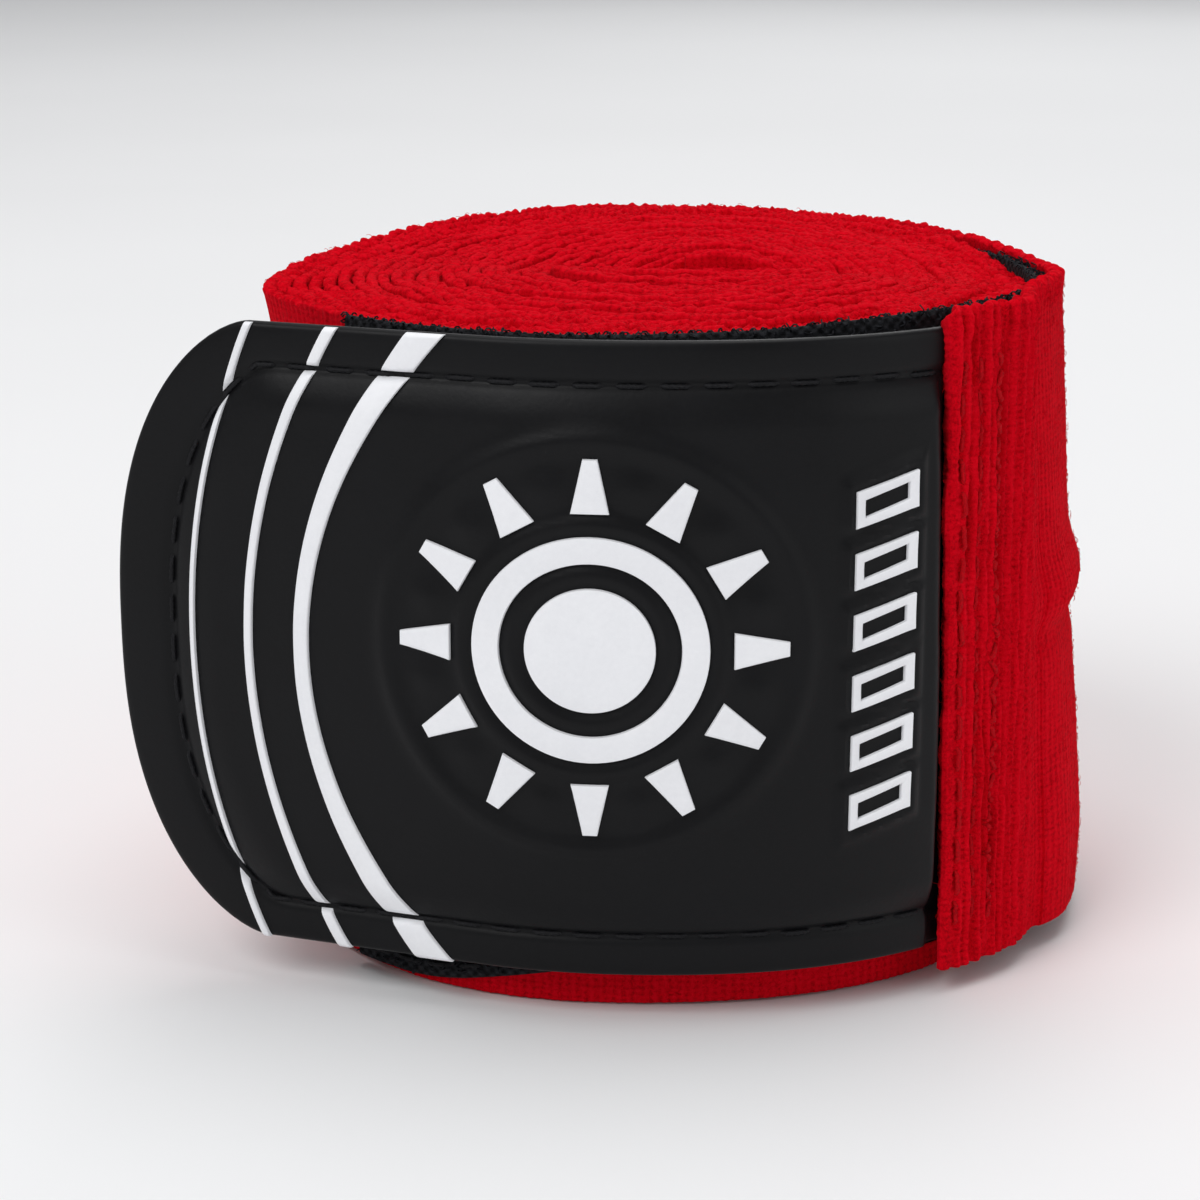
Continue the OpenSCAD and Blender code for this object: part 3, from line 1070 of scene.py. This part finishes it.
def sewn(surface, path, pitch, rise, seed):
    """Stitches along a path of (s, z) points on a surface: each comes up, runs along and dives back in."""
    length = lengths(path)
    count = max(1, round(length[-1] / pitch))
    step = length[-1] / count
    gap = step * (1 - STITCH_SHARE) / 2
    t = np.linspace(0, 1, 11)
    above = STITCH_DIVE + (rise - STITCH_DIVE) * np.clip(np.sin(np.pi * t) * 2.2, 0, 1)
    parts = []
    for i in range(count):
        u = np.linspace(i * step + gap, (i + 1) * step - gap, len(t))
        wander = 0.10 * float(noise(i * 0.7, 0, seed))
        s, z = np.interp(u, length, path[:, 0]), np.interp(u, length, path[:, 1]) + wander
        centre = surface(s, z, above)
        parts.append(thread(centre, unit(surface(s, z, above + 0.5) - centre), THREAD_R))
    return parts


def edge_path():
    """The line of stitches: along the top, round the free end, and back along the bottom."""
    z = TAB_Z + (TAB_HALF - STITCH_IN) * np.linspace(1, -1, 241)
    s = end_s(z) - STITCH_END * np.sqrt(1 + end_slope(z) ** 2)
    return np.stack([np.r_[0.6, s, 0.6], np.r_[z[0], z, z[-1]]], -1)


def edge_stitching():
    parts = sewn(on_tab, edge_path(), 3.0, 0.06, 51)
    make("edge_stitches", parts, BLACK_THREAD, "tab", "edge_stitching")


def on_band(s, z, above=0.0):
    """Points of the band's outer face, or a distance above it."""
    out, swell = band_shape(s, z)
    return raised(BAND, s, z, out + swell + PLY_T / 2 + above, HEM_WAY * hem_drift(s, z)[..., None])


def hem_stitching():
    """Two straight rows and one zigzag row hold the tab in the hem."""
    z = np.arange(TAB_Z - 21.5, TAB_Z + 21.5, 1.25)
    parts = []
    for i, at in enumerate(ROWS_S):
        sway = 0.42 * (-1.0) ** np.arange(len(z)) if i == 2 else 0.15 * noise(z / 3.0, i, 31)
        parts += sewn(on_band, np.stack([at + sway, z], -1), 2.3 if i < 2 else 1.5, 0.16, 52 + i)
    make("hem_stitches", parts, RED_THREAD, "tab", "hem_stitching")


# ---- hook and loop tapes

TAPE_LINE = Line(around(np.arange(TAPE_FROM, TAPE_TO - 5.01, -0.2), 0.0))
TAPE_END = TAPE_LINE.s[-1]
TAPE_BASE = 0.62
TAPE_WEAVE = 0.9


def tape_top(s):
    """The tape's upper edge: it stands highest beside the hem."""
    return 49.45 + 0.85 * bell(s - 46, 15) - 0.5 * ease((16 - s) / 14) + 0.10 * noise(s / 5, 0, 61)


def tape_low(s):
    return 3.4 - 2.7 * ease((s - TAPE_END + 25) / 20) + 0.15 * noise(s / 6, 0, 62)


def tape_shape(s, z):
    out = TAPE_BASE / 2 - 0.05 + 0.04 * noise(s / 5, z / 6, 63)
    return out, 0.03 * ripple(s, TAPE_WEAVE) * ripple(z, TAPE_WEAVE)


def on_tape(s, z, above=0.0):
    return raised(TAPE_LINE, s, z, TAPE_BASE - 0.05 + above)


def face_pile():
    """Loops over the tape's face, one in each cell of a grid and moved about inside it."""
    rows, columns = 118, 64
    i, j = cells(rows, columns)
    s = (i + 0.5 + 0.38 * lattice(i, j, 64)) / rows * TAPE_END
    low, high = tape_low(s) + 0.3, tape_top(s) - 0.1
    z = low + (high - low) * (j + 0.5 + 0.38 * lattice(i, j, 65)) / columns
    roots = on_tape(s, z, -0.1)
    up = on_tape(s, z, 0.9) - roots
    turn = np.pi * lattice(i, j, 66)
    lean = flat(clockwise(up)) * np.cos(turn)[:, None] + UP * np.sin(turn)[:, None]
    height, length = 0.50 + 0.14 * lattice(i, j, 67), 0.62 + 0.2 * lattice(i, j, 68)
    return strands(roots, up, lean, length, height, 0.075, curl=0.95)


def rim_pile():
    """Loops along the tape's upper edge."""
    count = round(TAPE_END / 0.24)
    k = np.arange(count)
    s = (k + 0.5 + 0.4 * lattice(k, k, 69)) / count * TAPE_END
    roots = on_tape(s, tape_top(s) - 0.16, -TAPE_BASE * (0.5 + 0.45 * lattice(k, k, 70)))
    aside = TAPE_LINE.at(s)[1]
    turn = np.pi * lattice(k, k, 71)[:, None]
    lean = flat(clockwise(aside) * np.cos(turn) + aside * np.sin(turn))
    size = 0.24 + 0.1 * lattice(k, k, 72)
    return strands(roots, np.tile(UP, (count, 1)), lean, size * 2, size, 0.085, curl=0.95)


def loop_tape():
    sheet = ply(TAPE_LINE, np.arange(0, TAPE_END, 0.3), 0.6, tape_shape, tape_low, tape_top, TAPE_BASE)
    base = make("loop_tape_base", [sheet], TAPE, "roll", "loop_tape")
    make("loop_tape_pile", [face_pile(), rim_pile()], PILE, "roll", "loop_tape")


def loop_tape_stitching():
    s = np.linspace(1.5, TAPE_END - 1.5, 60)
    paths = [(74, s, tape_low(s) + 1.2), (117, s, np.full(len(s), 46.4))]
    paths += [(75 + int(end), [end, end], [tape_low(end) + 1.8, 45.8]) for end in (s[0], s[-1])]
    parts = []
    for seed, along, z in paths:
        parts += sewn(on_tape, np.stack([along, z], -1), 2.6, 0.12, seed)
    make("loop_tape_stitches", parts, BLACK_THREAD, "roll", "loop_tape_stitching")


HOOK_FROM = 1.5
HOOK_HALF = (HOOK_HIGH[2] - HOOK_LOW[2]) / 2
HOOK_END = 3.0
HOOK_ROWS, HOOK_COLUMNS = 64, 42


def behind_tab(s, z, depth):
    """Points a depth behind the tab's back."""
    return raised(TAB, s, z, -(SKIN_T + depth))


def hook_tape():
    """A thin backing with rows of small hooks, sewn on the back of the tab."""
    s, z, side = patch(HOOK_HALF, HOOK_FROM, HOOK_END, np.linspace(-1, 1, 61), np.linspace(0, 1, 121))
    back = behind_tab(s, z, 0.34 - 0.10 * (1 - dome(side / 0.3)) + 0.01 * noise(s, z, 81))
    make("hook_tape_base", [slab(behind_tab(s, z, -0.05), back)], HOOKS, "tab", "hook_tape")
    i, j = cells(HOOK_ROWS, HOOK_COLUMNS)
    z = TAB_Z + (HOOK_HALF - 0.6) * (2 * (j + 0.5) / HOOK_COLUMNS - 1)
    share = (i + 0.5 + 0.1 * lattice(i, j, 82)) / HOOK_ROWS
    s = HOOK_FROM + 0.6 + (end_s(z) - HOOK_END - HOOK_FROM - 1.2) * share
    roots = behind_tab(s, z, 0.30)
    up = behind_tab(s, z, 1.30) - roots
    lean = np.stack([-up[:, 1], up[:, 0], 0.3 * lattice(i, j, 83)], -1) * np.where(j % 2, 1, -1)[:, None]
    height = 0.62 + 0.05 * lattice(i, j, 84)
    hooks = strands(roots, up, lean, np.full(len(i), 0.55), height, 0.085, curl=0.72)
    make("hook_tape_hooks", [hooks], HOOKS, "tab", "hook_tape")


def hem_back_shape(s, z):
    rib = ripple(s / RIB + 0.1 * noise(z / 6, s / 9, 7))
    return 0.06 * noise(s / 3, z / 5, 91), 0.04 * rib - 0.02


def hem_back():
    """The ply of the hem behind the root of the tab."""
    line = Line(around(np.arange(HEM_FROM + 4.5, HEM_TO - 1.6, -0.2), 1.75))
    s = np.arange(0, line.s[-1], RIB / 4)
    cloth = ply(line, s, 0.9, hem_back_shape,
                lambda v: 2.3 + CREEP + 0.1 * noise(v / 3, 0, 92),
                lambda v: BAND_W - 2.2 + CREEP + 0.1 * noise(v / 3, 0, 93), 0.7)
    piece = make("hem_fold_back", [cloth], RED, "tab", "hem_fold")


# ---- thumb loop

THUMB_T = 1.2


def thumb_face(sign):
    """The outer (1) or the inner (-1) face of the flattened ring of webbing."""
    angle = np.radians(np.arange(0, 360, 2.0))
    z = THUMB_LOW[2] + THUMB_HALF[2] * (1 - np.cos(np.linspace(0, np.pi, 31)))
    full = 0.45 + 0.55 * dome(np.minimum(z - THUMB_LOW[2], THUMB_HIGH[2] - z) / 0.5)
    bump = 0.05 * noise(angle[:, None] * 9, z[None] / 1.5, 95)
    inset = sign * THUMB_T / 2 * full[None] + bump - THUMB_T / 2 - 0.1
    x = THUMB_MIDDLE[0] + (THUMB_HALF[0] + inset) * signed_power(np.cos(angle), 0.8)[:, None]
    y = THUMB_MIDDLE[1] + (THUMB_HALF[1] + inset) * signed_power(np.sin(angle), 0.8)[:, None]
    return np.stack([x, y, np.broadcast_to(z, x.shape)], -1)


def thumb_loop():
    """A ring of webbing pressed flat in the middle of the roll."""
    webbing = [ring(thumb_face(1), thumb_face(-1))]
    piece = make("thumb_loop_webbing", webbing, WEBBING, "roll", "thumb_loop")


def thumb_loop_stitching():
    """Two bar tacks at one end of the loop: short close stitches across the webbing."""
    low, high = box_mm("thumb_loop_stitching")
    t = np.linspace(0, 1, 7)
    y = low[1] + (high[1] - low[1]) * (0.15 + 0.7 * t)
    parts = []
    for x in (low[0] + 0.6, high[0] - 0.6):
        for z in np.arange(low[2] + 0.3, high[2] - 0.2, 0.55):
            centre = np.stack([np.full(7, x), y, z + 0.15 * np.sin(np.pi * t)], -1)
            parts.append(thread(centre, np.tile(UP, (7, 1)), 0.2))
    make("thumb_loop_tacks", parts, RED_THREAD, "roll", "thumb_loop_stitching")


# ---- loose fibres

FIBRE_R = 0.024


def fibres(name, roots, up, seed):
    """Short stray cotton fibres that lie over the cloth. Each one leans its own way."""
    k = np.arange(len(roots))
    side = unit(np.cross(up, [0.81, 0.22, 0.93]))
    turn = np.pi * lattice(k, k, seed)[:, None]
    lean = side * np.cos(turn) + np.cross(up, side) * np.sin(turn)
    height = 0.13 + 0.09 * lattice(k, k, seed + 1)
    length = 0.42 + 0.22 * lattice(k, k, seed + 2)
    piece = new_piece(name, [strands(roots, up, lean, length, height, FIBRE_R, curl=0.8)], RED)
    return piece


def top_fibres():
    """Fibres over the top edges of the wound turns."""
    k = np.arange(7000)
    s = BAND.s[0] * (k + 0.5 + 0.5 * lattice(k, k, 101)) / len(k)
    across = band_shape(s, band_high(s))[0] + 0.36 * lattice(k, k, 102)
    roots = raised(BAND, s, band_high(s) - 0.10, across)
    on_roll(fibres("wound_band_fibres", roots, np.tile(UP, (len(k), 1)), 103), "wound_band")


def face_fibres(name, start, end, count, seed):
    """Fibres over the band's outer face between two lengths."""
    k = np.arange(count)
    s = start + (end - start) * (k + 0.5 + 0.5 * lattice(k, k, seed)) / count
    z = band_low(s) + 0.6 + (band_high(s) - band_low(s) - 1.0) * (0.5 + 0.5 * lattice(k, k, seed + 1))
    roots = on_band(s, z, -0.05)
    up = on_band(s, z, 0.95) - roots
    return fibres(name, roots, up, seed + 2)


def loose_fibres():
    on_roll(face_fibres("wound_band_face_fibres", turn_s(0.75), 0.0, 2500, 110), "wound_band")
    on_roll(face_fibres("last_turn_back_fibres", turn_s(0.0), BACK_END, 1600, 120), "last_turn_back")
    at_side(face_fibres("last_turn_side_fibres", BACK_END, SIDE_END, 1500, 130))
    at_hem(face_fibres("hem_fold_fibres", SIDE_END, FOLD_S - 0.3, 2600, 140))


wound_turns()
last_turn()
top_fibres()
loose_fibres()
tab_skin()
tab_pad()
stripes()
emblem()
bar_marks()
edge_stitching()
hem_stitching()
loop_tape()
loop_tape_stitching()
hook_tape()
hem_back()
thumb_loop()
thumb_loop_stitching()
